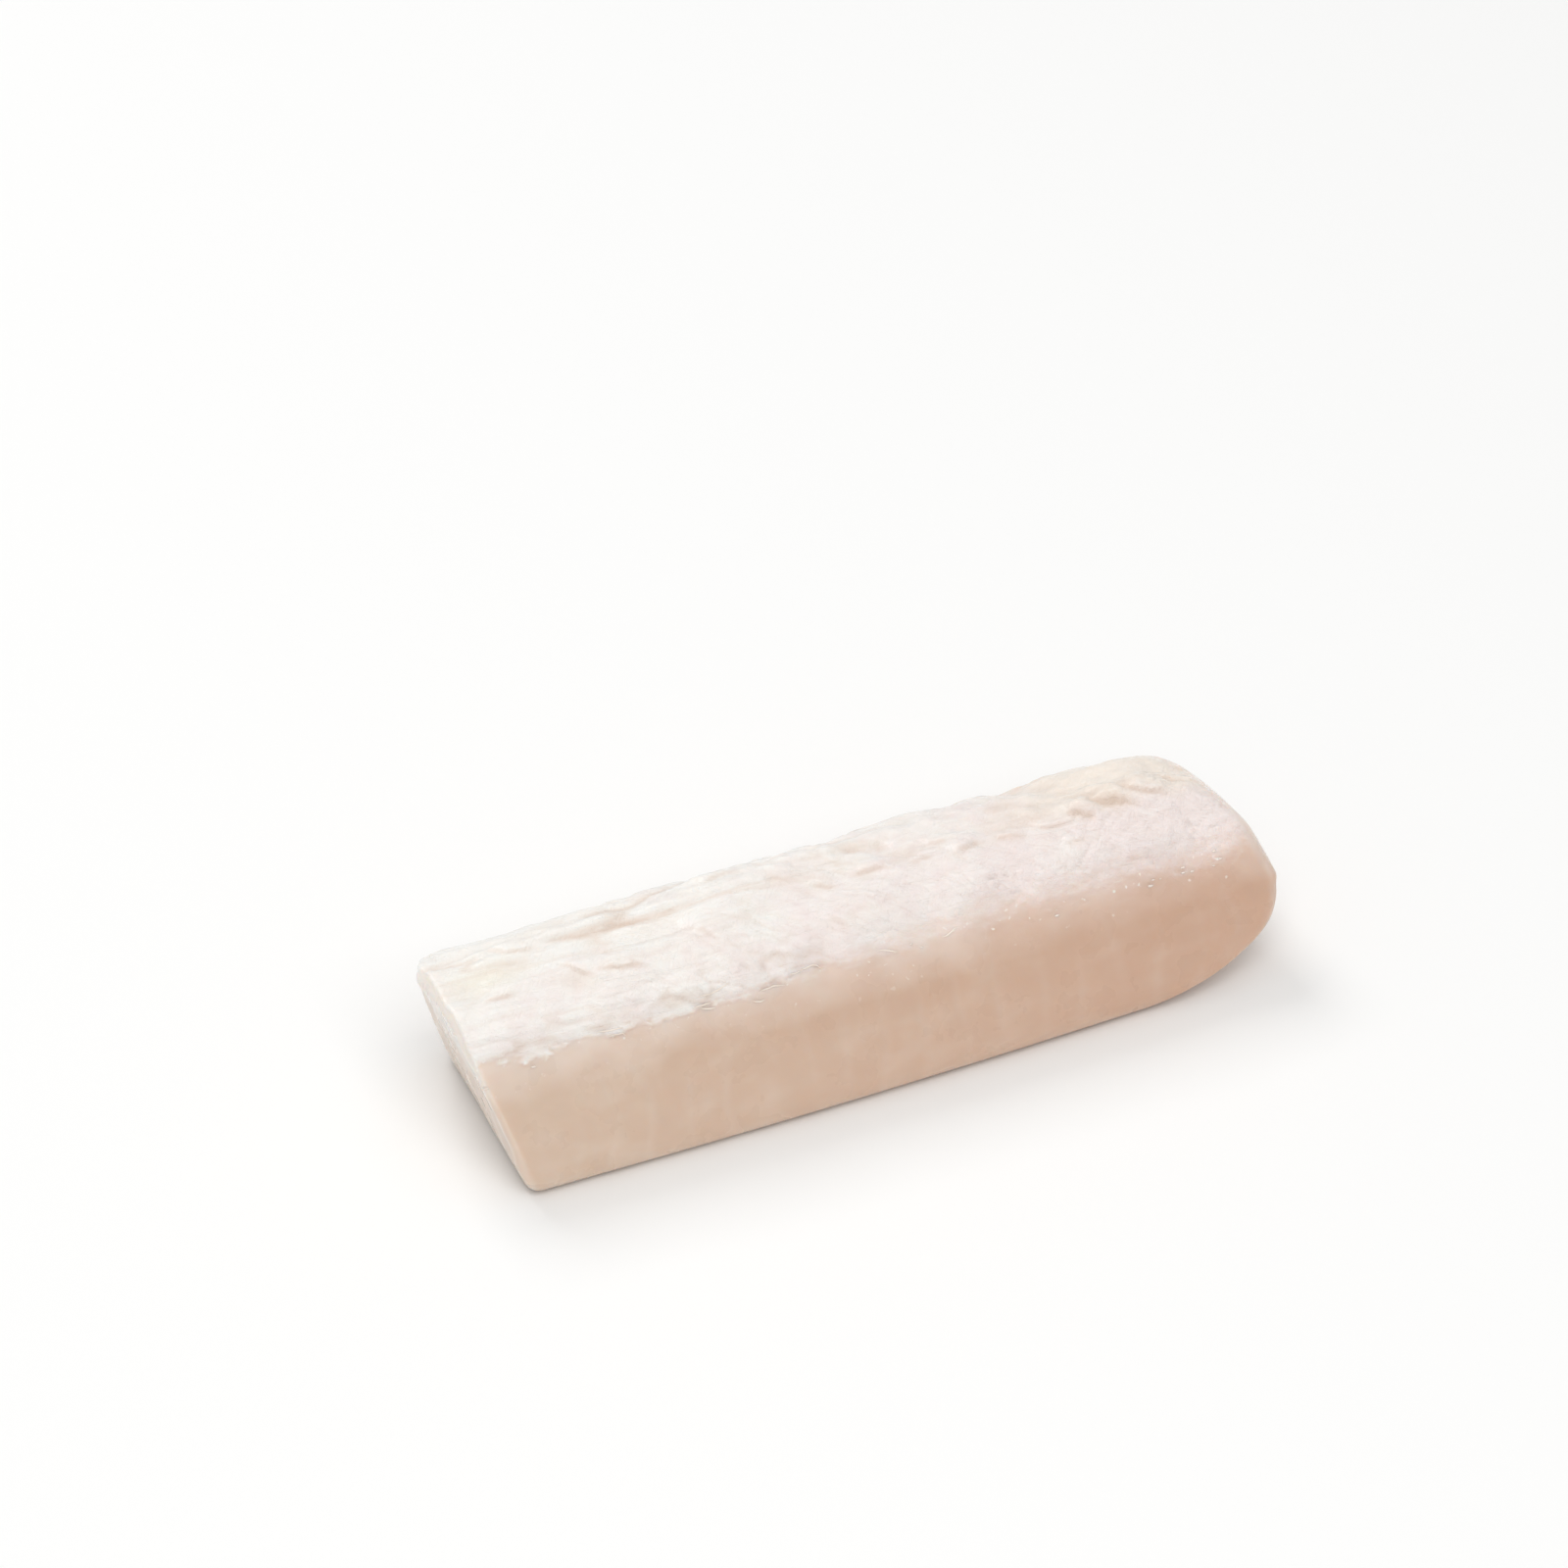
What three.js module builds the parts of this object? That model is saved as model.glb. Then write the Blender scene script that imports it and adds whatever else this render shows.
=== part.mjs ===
// A raw, skinless hake loin portion: one thick bar of white fish cut from a fillet.
// Millimetres, +Z up. X runs along the fillet's grain, the skinned side is up, and the
// portion lies on its flat inner side with the origin under its middle.
import * as THREE from "three";

const { lerp, smoothstep, clamp } = THREE.MathUtils;

// Driving dimensions, in millimetres unless the name says otherwise.
const LENGTH = 148.5; // along the front edge, before the ends are rounded
const WIDTH = 46;
const HEIGHT = 29;

// The cross-section: a wide base, flanks that lean in, soft shoulders and a low crown.
const WIDEST_LEVEL = 0.28 * HEIGHT; // height at which the flanks bulge most
const BASE_SINK = 2; // how far the rounded underside is pressed flat
const DOME_POWER = 2.9; // superellipse power above the widest level
const BASE_POWER = 3.6; // and below it
const FLANK_LEAN = 0.28; // share of the width lost from base to crown
const CROWN_SHIFT = 2.2; // the crown's shift to the back
const HEIGHT_SWELL = 0.025; // share by which the middle is taller than the ends
const WIDTH_SWELL = 0.04; // and wider

// The left end is a slanted knife cut, and the right end is a softer, rounded one.
const LEFT_UNDERCUT = 9; // the skinned side overhangs the base by this much
const LEFT_SKEW = 3; // the back of the cut lies this much further in than its front
const LEFT_EDGE_RADIUS = 2;
const RIGHT_UNDERCUT = 26;
const RIGHT_ROUNDING = 2.4; // power of the curve under the right end
const RIGHT_BULGE_LEVEL = 0.56 * HEIGHT; // the right end reaches furthest at this height
const RIGHT_TOP_RETREAT = 4;
const RIGHT_SKEW = 8.5;
const RIGHT_EDGE_RADIUS = 5;

// Relief of the skinned side, the flanks and the cut ends.
const FOLD_HEIGHT = 1; // long folds of the white film, deepest near the back edge
const FOLD_SPACING = 6;
const FOLD_LENGTH = 30;
const FOLD_DRIFT = 3; // how far a fold wanders sideways
const FOLD_FRONT_SHARE = 0.25; // how much of a fold's height is left at the front
const LUMP_HEIGHT = 0.6; // uneven lumps all over the film
const LUMP_SIZE = 11;
const PUCKER_HEIGHT = 0.45; // small puckers between the lumps
const PUCKER_SIZE = 5;
const FLAKE_HEIGHT = 0.16; // slanted muscle flakes along the flanks
const FLAKE_SPACING = 11;
const FLAKE_SLANT = 0.55;
const FLAKE_WANDER = 0.9; // how unevenly the flakes are spaced
const CUT_HEIGHT = 0.45; // torn grain of the cut ends
const CUT_SIZE = 5;
const HUMP_NARROWNESS = 0.55; // a hump's width as a share of its length
const HUMPS = [
  { along: 0.43, across: 0.15, size: 9, height: -1.8 },
  { along: 0.375, across: 0.2, size: 9, height: 0.9 },
  { along: 0.29, across: 0.3, size: 9, height: -0.4 },
  { along: 0.33, across: 0.1, size: 7, height: -0.8 },
  { along: 0.17, across: 0.08, size: 9, height: -0.5 },
  { along: -0.1, across: 0.3, size: 14, height: 0.4 },
  { along: -0.3, across: 0.12, size: 8, height: -0.6 },
  { along: -0.38, across: 0.28, size: 12, height: 0.6 },
]; // shares of the length and the width from the middle

// Fineness of the mesh.
const COLUMNS = 60;
const BASE_SPACING = 3; // how much wider apart the columns lie on the base
const BODY_ROWS = 78;
const EDGE_ROWS = 4;
const CUT_RINGS = 6;

const SECTION_MIDDLE = new THREE.Vector2(0, 0.45 * HEIGHT);

// Smooth random heights from -1 to 1 on a unit grid, the same on every run.
function gridValue(i, j, seed) {
  const wave = Math.sin(i * 127.1 + j * 311.7 + seed * 74.7) * 43758.5453;
  return 2 * (wave - Math.floor(wave)) - 1;
}

function noise(u, v, seed) {
  const i = Math.floor(u);
  const j = Math.floor(v);
  const fu = smoothstep(u - i, 0, 1);
  const fv = smoothstep(v - j, 0, 1);
  const near = lerp(gridValue(i, j, seed), gridValue(i + 1, j, seed), fu);
  const far = lerp(gridValue(i, j + 1, seed), gridValue(i + 1, j + 1, seed), fu);
  return lerp(near, far, fv);
}

const signedPower = (value, power) => Math.sign(value) * Math.abs(value) ** power;

// How tall and wide the portion is at a share of its length, 0 at the left and 1 at the right.
function fullness(share) {
  const slimming = 1 - Math.sin(Math.PI * share);
  return {
    height: HEIGHT * (1 - HEIGHT_SWELL * slimming),
    width: WIDTH * (1 - WIDTH_SWELL * slimming),
  };
}

// A point of the cross-section's outline, as (across, up), for an angle round it.
function sectionPoint(share, angle) {
  const { height, width } = fullness(share);
  const c = Math.cos(angle);
  const s = Math.sin(angle);
  const power = 2 / (s > 0 ? DOME_POWER : BASE_POWER);
  const reach = s > 0 ? height - WIDEST_LEVEL : WIDEST_LEVEL + BASE_SINK;
  const up = Math.max(0, WIDEST_LEVEL + reach * signedPower(s, power));
  const level = clamp(up / height, 0, 1);
  const half = (width / 2) * (1 - FLANK_LEAN * level);
  return new THREE.Vector2(half * signedPower(c, power) + CROWN_SHIFT * level, up);
}

// Angles round the section whose points lie evenly along its outline.
function columnAngles() {
  const steps = 3000;
  const travelled = [0];
  let before = sectionPoint(0.5, 0);
  for (let i = 1; i <= steps; i++) {
    const here = sectionPoint(0.5, (2 * Math.PI * i) / steps);
    const stretch = here.y > 0 ? 1 : BASE_SPACING;
    travelled.push(travelled[i - 1] + here.distanceTo(before) / stretch);
    before = here;
  }
  const angles = [];
  let step = 0;
  for (let k = 0; k < COLUMNS; k++) {
    while (travelled[step] < (travelled[steps] * k) / COLUMNS) step++;
    angles.push((2 * Math.PI * step) / steps);
  }
  return angles;
}

// Where the two cut ends lie along X, for a point of the section.
function leftEnd(across, up) {
  const slant = LEFT_UNDERCUT * (1 - up / HEIGHT);
  return -LENGTH / 2 + slant + LEFT_SKEW * (across / WIDTH + 0.5);
}

function rightEnd(across, up) {
  const below = clamp(1 - up / RIGHT_BULGE_LEVEL, 0, 1);
  const above = clamp((up - RIGHT_BULGE_LEVEL) / (HEIGHT - RIGHT_BULGE_LEVEL), 0, 1);
  const retreat = RIGHT_UNDERCUT * below ** RIGHT_ROUNDING + RIGHT_TOP_RETREAT * above ** 2;
  return LENGTH / 2 - retreat - RIGHT_SKEW * (across / WIDTH + 0.5);
}

// The rings of one end, from the middle of its cut face out over its rounded edge. Share is a
// ring's place along the body, shrink its size on the cut, inset its distance in from the
// outline and gap its distance from the cut.
function endRows(share, radius) {
  const rows = [];
  for (let i = 1; i <= CUT_RINGS; i++) {
    rows.push({ share, shrink: i / CUT_RINGS, inset: radius, gap: 0 });
  }
  for (let i = 1; i < EDGE_ROWS; i++) {
    const turn = (Math.PI / 2) * (i / EDGE_ROWS);
    const inset = radius * (1 - Math.sin(turn));
    const gap = radius * (1 - Math.cos(turn));
    rows.push({ share, shrink: 1, inset, gap });
  }
  return rows;
}

function bodyRows() {
  const rows = [];
  for (let i = 0; i <= BODY_ROWS; i++) rows.push({ share: i / BODY_ROWS, shrink: 1, inset: 0 });
  return rows;
}

// A ring's point in space at an angle round the section.
function ringPoint(row, angle) {
  const radial = sectionPoint(row.share, angle).sub(SECTION_MIDDLE);
  const scale = row.shrink * (1 - row.inset / radial.length());
  const across = SECTION_MIDDLE.x + scale * radial.x;
  const up = SECTION_MIDDLE.y + scale * radial.y;
  const left = leftEnd(across, up) + (row.gap ?? LEFT_EDGE_RADIUS);
  const right = rightEnd(across, up) - (row.gap ?? RIGHT_EDGE_RADIUS);
  return new THREE.Vector3(lerp(left, right, row.share), across, up);
}

// Heights of the surface's relief above the smooth form, by place and facing.
function filmRelief(point) {
  const backness = smoothstep(point.y, -0.1 * WIDTH, 0.2 * WIDTH);
  const drift = FOLD_DRIFT * noise(point.x / FOLD_LENGTH, 0, 1);
  const crease = Math.abs(noise(point.x / FOLD_LENGTH, (point.y + drift) / FOLD_SPACING, 2));
  const folds = FOLD_HEIGHT * lerp(FOLD_FRONT_SHARE, 1, backness) * (0.35 - crease);
  const lumps = LUMP_HEIGHT * noise(point.x / LUMP_SIZE, (1.6 * point.y) / LUMP_SIZE, 3);
  const puckers = PUCKER_HEIGHT * noise(point.x / PUCKER_SIZE, (1.3 * point.y) / PUCKER_SIZE, 6);
  return folds + lumps + puckers;
}

function humpRelief(point) {
  let height = 0;
  for (const hump of HUMPS) {
    const dx = (point.x - hump.along * LENGTH) / hump.size;
    const dy = (point.y - hump.across * WIDTH) / (HUMP_NARROWNESS * hump.size);
    height += hump.height * Math.exp(-dx * dx - dy * dy);
  }
  return height;
}

function flakeRelief(point) {
  const wander = FLAKE_WANDER * noise(point.x / 18, point.z / 12, 4);
  const phase = (point.x + FLAKE_SLANT * point.z) / FLAKE_SPACING + wander;
  return FLAKE_HEIGHT * Math.sin(2 * Math.PI * phase);
}

function reliefAt(point, normal) {
  const topward = smoothstep(normal.z, 0.25, 0.75);
  const endward = smoothstep(Math.abs(normal.x), 0.55, 0.85);
  const flankward = (1 - topward) * (1 - endward);
  const offBase = smoothstep(normal.z, -0.75, -0.35) * smoothstep(point.z, 1, 6);
  const cut = CUT_HEIGHT * noise(point.y / CUT_SIZE, point.z / CUT_SIZE, 5);
  const film = topward * (1 - endward) * (filmRelief(point) + humpRelief(point));
  return offBase * (film + flankward * flakeRelief(point) + endward * cut);
}

// The closed skin: rings of points from a pole on the left cut to one on the right cut.
function portionGeometry() {
  const leftRows = endRows(0, LEFT_EDGE_RADIUS);
  const rightRows = endRows(1, RIGHT_EDGE_RADIUS).reverse();
  const rows = [...leftRows, ...bodyRows(), ...rightRows];
  const angles = columnAngles();
  const pole = { shrink: 0, inset: 0, gap: 0 };
  const points = [ringPoint({ ...pole, share: 0 }, 0)];
  for (const row of rows) {
    for (const angle of angles) points.push(ringPoint(row, angle));
  }
  points.push(ringPoint({ ...pole, share: 1 }, 0));

  const faces = [];
  const last = points.length - 1;
  const at = (row, column) => 1 + row * COLUMNS + (column % COLUMNS);
  for (let k = 0; k < COLUMNS; k++) {
    faces.push(0, at(0, k + 1), at(0, k));
    faces.push(last, at(rows.length - 1, k), at(rows.length - 1, k + 1));
    for (let r = 0; r + 1 < rows.length; r++) {
      faces.push(at(r, k), at(r, k + 1), at(r + 1, k));
      faces.push(at(r + 1, k), at(r, k + 1), at(r + 1, k + 1));
    }
  }
  const geometry = new THREE.BufferGeometry().setFromPoints(points).setIndex(faces);
  geometry.computeVertexNormals();
  raiseRelief(geometry);
  settle(geometry);
  return geometry;
}

// Moves each point of the smooth form out along its normal by the relief's height.
function raiseRelief(geometry) {
  const places = geometry.getAttribute("position");
  const normals = geometry.getAttribute("normal");
  const point = new THREE.Vector3();
  const normal = new THREE.Vector3();
  for (let i = 0; i < places.count; i++) {
    point.fromBufferAttribute(places, i);
    normal.fromBufferAttribute(normals, i);
    point.addScaledVector(normal, reliefAt(point, normal));
    places.setXYZ(i, point.x, point.y, Math.max(0, point.z));
  }
}

// Puts the origin under the middle of the portion's box.
function settle(geometry) {
  geometry.computeBoundingBox();
  const middle = geometry.boundingBox.getCenter(new THREE.Vector3());
  geometry.translate(-middle.x, -middle.y, 0);
  geometry.computeVertexNormals();
}

const rawHake = new THREE.MeshStandardMaterial({ color: 0xeee2da, roughness: 0.42, metalness: 0 });
const hakePortion = new THREE.Mesh(portionGeometry(), rawHake);
hakePortion.name = "hake_portion";

const part = new THREE.Group();
part.add(hakePortion);
export default part;
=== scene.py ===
import math

import bmesh
import bpy
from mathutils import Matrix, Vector


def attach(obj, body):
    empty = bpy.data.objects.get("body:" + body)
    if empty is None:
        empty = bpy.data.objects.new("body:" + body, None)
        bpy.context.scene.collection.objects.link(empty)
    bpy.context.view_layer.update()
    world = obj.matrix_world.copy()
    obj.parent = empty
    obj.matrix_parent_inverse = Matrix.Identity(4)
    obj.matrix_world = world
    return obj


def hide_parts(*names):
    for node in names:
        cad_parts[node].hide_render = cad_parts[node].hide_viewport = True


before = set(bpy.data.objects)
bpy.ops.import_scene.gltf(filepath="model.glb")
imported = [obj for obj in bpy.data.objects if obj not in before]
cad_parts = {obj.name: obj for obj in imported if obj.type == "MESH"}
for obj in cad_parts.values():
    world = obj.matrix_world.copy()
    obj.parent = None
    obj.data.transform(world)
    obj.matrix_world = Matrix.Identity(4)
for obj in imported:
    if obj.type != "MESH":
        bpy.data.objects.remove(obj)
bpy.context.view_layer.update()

mm = 0.001

# kinds of node that are used all over the script
mathNode = "ShaderNodeMath"
vectorNode = "ShaderNodeVectorMath"
rangeNode = "ShaderNodeMapRange"
noiseNode = "ShaderNodeTexNoise"
mixNode = "ShaderNodeMix"
axisNode = "ShaderNodeSeparateXYZ"
joinNode = "ShaderNodeCombineXYZ"
turnNode = "ShaderNodeVectorRotate"
alignNode = "FunctionNodeAlignRotationToVector"
randomNode = "FunctionNodeRandomValue"

# settings that many of them share
eased = {"interpolation_type": "SMOOTHSTEP"}      # a range with soft ends
seeded = {"noise_dimensions": "4D"}               # noise with a fourth number, for the seed
aboutUp = {"rotation_type": "Z_AXIS"}
colourMix = {"out": 2, "data_type": "RGBA"}
vectorMix = {"out": 1, "data_type": "VECTOR"}


def linear(hexColour):
    # sRGB hex to the linear RGBA that shader sockets take
    channels = [int(hexColour[i:i + 2], 16) / 255 for i in (1, 3, 5)]
    return [c / 12.92 if c <= 0.04045 else ((c + 0.055) / 1.055) ** 2.4 for c in channels] + [1.0]


def addNode(tree, kind, inputs=None, out=0, **settings):
    # one node with its settings, values and incoming links; gives back the output asked for
    node = tree.nodes.new(kind)
    for name, value in settings.items():
        setattr(node, name, value)
    for keys, values in (inputs or {}).items():
        # a pair of sockets takes a pair of values
        for key, value in zip(keys, values) if isinstance(keys, tuple) else [(keys, values)]:
            if isinstance(value, bpy.types.NodeSocket):
                tree.links.new(value, node.inputs[key])
            else:
                node.inputs[key].default_value = value
    return node.outputs[out]


def plainMaterial(name, setup):
    # one even substance, for what is too small or too plain to show a pattern
    material = bpy.data.materials.new(name)
    material.use_nodes = True
    shader = material.node_tree.nodes["Principled BSDF"]
    shader.inputs["Base Color"].default_value = linear(setup["colour"])
    for label, value in setup["finish"].items():
        shader.inputs[label].default_value = value
    return material


# camera: the photograph's viewing angle, with the portion where the photograph has it
cameraSetup = {
    "azimuth": -25.4,            # degrees, 0 looks along +Y
    "elevation": 37.9,
    "distance": 1929 * mm,
    "lens": 270.0,               # mm, both
    "sensor": 36.0,
    "imageSize": 1600,           # pixels, square
    "originPixel": (860, 1039),  # where the middle of the underside falls
}


def makeCamera(setup):
    azimuth = math.radians(setup["azimuth"])
    elevation = math.radians(setup["elevation"])
    right = Vector((math.cos(azimuth), math.sin(azimuth), 0))
    back = Vector((math.sin(azimuth) * math.cos(elevation),
                   -math.cos(azimuth) * math.cos(elevation), math.sin(elevation)))
    up = back.cross(right)
    pixel = setup["distance"] * setup["sensor"] / setup["lens"] / setup["imageSize"]
    across = (setup["originPixel"][0] - setup["imageSize"] / 2) * pixel
    down = (setup["originPixel"][1] - setup["imageSize"] / 2) * pixel
    data = bpy.data.cameras.new("photoCamera")
    data.lens = setup["lens"]
    data.sensor_width = setup["sensor"]
    camera = bpy.data.objects.new("photoCamera", data)
    camera.location = back * setup["distance"] - right * across + up * down
    camera.rotation_euler = (-back).to_track_quat("-Z", "Y").to_euler()
    bpy.context.collection.objects.link(camera)
    bpy.context.scene.camera = camera
    print("camera made")


makeCamera(cameraSetup)

# studio: a pale floor, soft lights above in front and behind, and a broad weak one overhead. In metres.
studio = {
    "floor": {"size": 6.0, "colour": "#f8f8f7", "finish": {"Roughness": 0.9}},
    "skyColour": "#ffffff",
    "skyStrength": 0.47,
    "lights": [
        {"name": "backSoftbox", "place": (-0.20, 0.90, 1.08), "size": 0.6, "watts": 5.9},
        {"name": "overheadSoftbox", "place": (0.05, 0.0, 1.50), "size": 1.4, "watts": 2.8},
        {"name": "frontSoftbox", "place": (-0.20, -0.80, 1.15), "size": 0.9, "watts": 7.5},
    ],
}


def makeStudio(setup):
    half = setup["floor"]["size"] / 2
    mesh = bpy.data.meshes.new("floor")
    corners = [(-half, -half, 0), (half, -half, 0), (half, half, 0), (-half, half, 0)]
    mesh.from_pydata(corners, [], [(0, 1, 2, 3)])
    mesh.materials.append(plainMaterial("matt white paper", setup["floor"]))   # even and without shine
    floor = bpy.data.objects.new("floor", mesh)
    bpy.context.collection.objects.link(floor)
    for light in setup["lights"]:
        data = bpy.data.lights.new(light["name"], "AREA")
        data.energy = light["watts"]
        data.size = light["size"]
        lamp = bpy.data.objects.new(light["name"], data)
        lamp.location = light["place"]
        lamp.rotation_euler = (-Vector(light["place"])).to_track_quat("-Z", "Y").to_euler()
        bpy.context.collection.objects.link(lamp)
    world = bpy.data.worlds.new("studioSky")
    world.use_nodes = True
    sky = world.node_tree.nodes["Background"]
    sky.inputs["Color"].default_value = linear(setup["skyColour"])
    sky.inputs["Strength"].default_value = setup["skyStrength"]
    bpy.context.scene.world = world
    bpy.context.scene.view_settings.view_transform = "Standard"
    print("studio made")


makeStudio(studio)


def bellWindow(tree, placeMm, middle, reach, turn=0):
    # one at the middle of a patch of the surface, falling to nothing past its reach along, across and up
    away = addNode(tree, vectorNode, {0: placeMm, 1: (*middle, 0)[:3]}, operation="SUBTRACT")
    turned = addNode(tree, turnNode, {"Vector": away, "Angle": math.radians(-turn)}, **aboutUp)
    shares = (*[1 / one for one in reach], 0)[:3]     # with no third reach, any height will do
    share = addNode(tree, vectorNode, {0: turned, 1: shares}, operation="MULTIPLY")
    square = addNode(tree, vectorNode, {0: share, 1: share}, out="Value", operation="DOT_PRODUCT")
    fall = addNode(tree, mathNode, {0: square, 1: -1.0}, operation="MULTIPLY")
    return addNode(tree, mathNode, {0: fall}, operation="EXPONENT")


# raw hake: moist translucent flesh, under an opaque white film where the skin was pulled off. Lengths in mm.
# A From pair says where a change begins and where it is complete.
rawHake = {
    "filmWhite": "#f7f3ee",
    "filmPink": "#f2e7e4",
    "pinkFrom": (-40.0, 45.0),   # along
    "pinkShare": (0.05, 0.85),   # how pink the film is there
    "pinkAcross": -0.02,         # and what each mm towards the back adds
    "filmCream": "#f4eae0",      # the lobes along the back, near the round end
    "creamFrom": (26.0, 46.0),   # along
    "creamBackFrom": (2.0, 7.0),  # across, in places where the patches are at their lowest
    "creamStray": 10.0,          # how far the patches shift that
    "filmStain": "#f1eedc",
    "stainPlace": (-63, 2),      # along and across
    "stainReach": (6.0, 3.0),
    # painted shade: the colour that darkens the film in its creases, valleys and hollows; in the round pit
    # partly the bare flesh
    "creaseShade": "#dfcbbb",
    "fleshPale": "#eee1d6",      # high on the flanks, towards the slanted end
    "fleshWarm": "#e6cebf",      # and towards the round end
    "deepPale": "#dcc5b1",       # low on the flanks, in the same order: partly the flesh's own tone, partly painted shade
    "deepWarm": "#d5b39c",
    "warmFrom": (-65.0, 55.0),   # along
    "deepFrom": (24.0, 17.0),    # above the floor; this darkening downwards is partly painted shade
    "cutPale": "#efe8e1",        # the knife cuts at both ends
    "cutShare": (0.28, 0.95),    # how much of that shows low down and high up
    "flakeWhite": "#f8f0e8",     # the thin sheets between flakes of muscle
    "fleckFrom": (17.0, 22.0),   # above the floor, white flecks under the film's edge: partly white specks, partly painted glints
    # length and width of the spots, the stretch of the noise that counts, and what it adds
    "patterns": {
        "patch": {"size": (14.0, 14.0), "detail": 3, "noise": (0.36, 0.66), "adds": (-0.25, 0.35)},  # pink
        "speck": {"size": (2.6, 2.6), "detail": 2, "noise": (0.3, 0.7), "adds": (-0.25, 0.25)},      # pink
        "mottle": {"size": (9.0, 5.0), "detail": 2, "noise": (0.3, 0.7), "adds": (-0.13, 0.13)},     # warmth
        "fleckAndGlint": {"size": (1.1, 1.1), "detail": 1, "noise": (0.70, 0.78), "adds": (0.0, 1.0)},       # white specks and painted glints
        "wet": {"size": (6.0, 6.0), "detail": 3, "noise": (0.35, 0.65), "adds": (-0.10, 0.10)},  # roughness
    },
    "fineReliefs": [             # hair-fine fibres that cross, and fine wrinkles along the film
        {"length": 6.0, "width": 0.5, "turn": 52.0, "depth": 0.035},
        {"length": 6.0, "width": 0.5, "turn": -52.0, "depth": 0.035},
        {"length": 11.0, "width": 0.9, "turn": 4.0, "depth": 0.055},
    ],
    "fineLine": (0.5, 0.62),     # the stretch of the noise that makes such a line
    "grainSize": 0.7,            # wet grain
    "grainRelief": 0.02,
    "roughness": 0.32,           # of the bare flesh
    "filmRoughness": 0.14,       # more on the film
    "filmRadius": (0.40, 0.38, 0.36),  # how far light spreads in the film
    "fleshRadius": (1.8, 1.4, 1.1),    # and in the bare flesh
    "finish": {"IOR": 1.38, "Subsurface Weight": 1.0, "Subsurface Scale": mm,
               "Coat Weight": 0.35, "Coat Roughness": 0.14, "Coat IOR": 1.33},
}


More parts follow.
